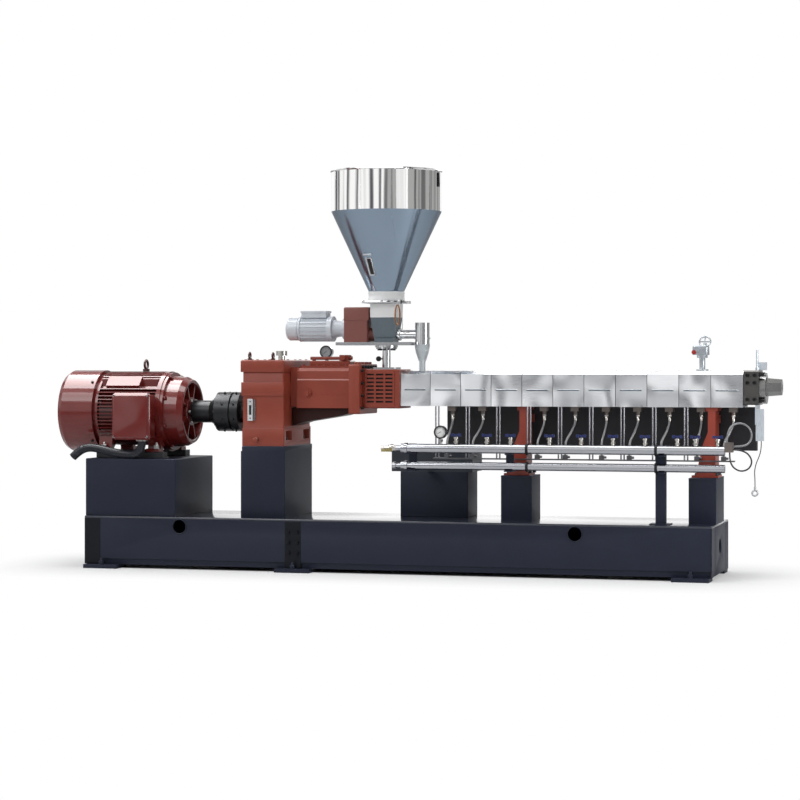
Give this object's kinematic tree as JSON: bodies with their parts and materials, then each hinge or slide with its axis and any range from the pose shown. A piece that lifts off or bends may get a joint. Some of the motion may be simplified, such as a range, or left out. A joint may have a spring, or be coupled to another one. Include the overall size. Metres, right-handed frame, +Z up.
{
  "type": "twin-screw plastic extruder",
  "caption": "Floor-standing twin-screw extruder: motor, gearbox and long covered barrel on a welded steel base, with a metering hopper on top and water manifolds along the front.",
  "frame": {"origin": "on the floor at the centre of the four corner anchor holes, midway along and across the base", "axes": "+X along the machine from the motor towards the die, +Y from the front with the water pipes towards the back, +Z up"},
  "size_m": [5.708, 1.02, 3.103],
  "materials": {
    "navy_paint": "semi-gloss machine enamel",
    "red_paint": "gloss machine enamel",
    "motor_red_paint": "gloss machine enamel",
    "feeder_red_paint": "semi-gloss enamel",
    "orange_red_paint": "semi-gloss enamel",
    "dark_red_paint": "satin dark red",
    "light_grey_paint": "light grey enamel",
    "die_steel": "dark heat-tinted steel",
    "coupling_black": "blackened",
    "dark_steel": "satin dark coat",
    "machined_steel": "turned and ground",
    "barrel_steel": "dull steel",
    "stainless": "brushed stainless",
    "pipe_steel": "polished stainless tube",
    "hopper_grey": "satin blue-grey",
    "sheet_grey": "satin grey-blue",
    "vent_blue_grey": "satin grey-blue",
    "tank_grey": "gloss dark grey",
    "trunk_black": "matt black",
    "blue_handle": "glossy dark blue",
    "black_plastic": "matt",
    "black_rubber": "matt",
    "pale_cable": "satin grey jacket",
    "braided_hose": "braided wire",
    "thin_tube": "bright tube",
    "valve_metal": "plated brass",
    "gauge_case": "bright case",
    "gauge_glass": "clear",
    "clear_plastic": "clear, slightly cloudy"
  },
  "bodies": {
    "root": {"barrel": "barrel_steel", "barrel_columns": "navy_paint", "barrel_covers": "stainless", "barrel_supports": "orange_red_paint", "base_cross_members": "navy_paint", "base_deck": "navy_paint", "base_feet": "navy_paint", "base_rails": "navy_paint", "connector_blocks": "dark_steel", "cooling_hoses": "braided_hose", "cooling_valves": "valve_metal", "dial_gauges": "gauge_case", "die_fittings": "sheet_grey", "die_head": "die_steel", "die_nose": "die_steel", "feed_chute": "stainless", "feed_spout": "clear_plastic", "feeder_motor": "light_grey_paint", "feeder_reducer": "feeder_red_paint", "feeder_stand": "stainless", "feeder_trough": "stainless", "gearbox_pedestal": "navy_paint", "heater_cable": "pale_cable", "hopper_cone": "hopper_grey", "hopper_cylinder": "stainless", "hopper_gate": "stainless", "lantern": "red_paint", "lantern_louvres": "red_paint", "lifting_eyes": "machined_steel", "manifold_pipes": "pipe_steel", "manifold_posts": "navy_paint", "motor_conduit": "black_rubber", "motor_end_shield": "motor_red_paint", "motor_fan": "black_plastic", "motor_fan_cowl": "motor_red_paint", "motor_frame": "motor_red_paint", "motor_pedestal": "navy_paint", "motor_rails": "dark_steel", "motor_terminal_box": "motor_red_paint", "oil_pump": "red_paint", "oil_sump": "dark_red_paint", "probe_lead": "black_rubber", "probe_ring": "machined_steel", "rear_trunk": "trunk_black", "reducer_cap": "red_paint", "reducer_fittings": "valve_metal", "reducer_housing": "red_paint", "return_tubes": "thin_tube", "screw_shafts": "machined_steel", "sensor_cable": "black_rubber", "shaft_coupling": "coupling_black", "sight_glass": "gauge_glass", "tank_lid": "tank_grey", "tank_pedestal": "navy_paint", "transmission_flange": "red_paint", "transmission_housing": "red_paint", "valve_handles": "blue_handle", "valve_rail": "stainless", "vent_valve": "vent_blue_grey", "water_tank": "tank_grey"}
  },
  "joints": []
}
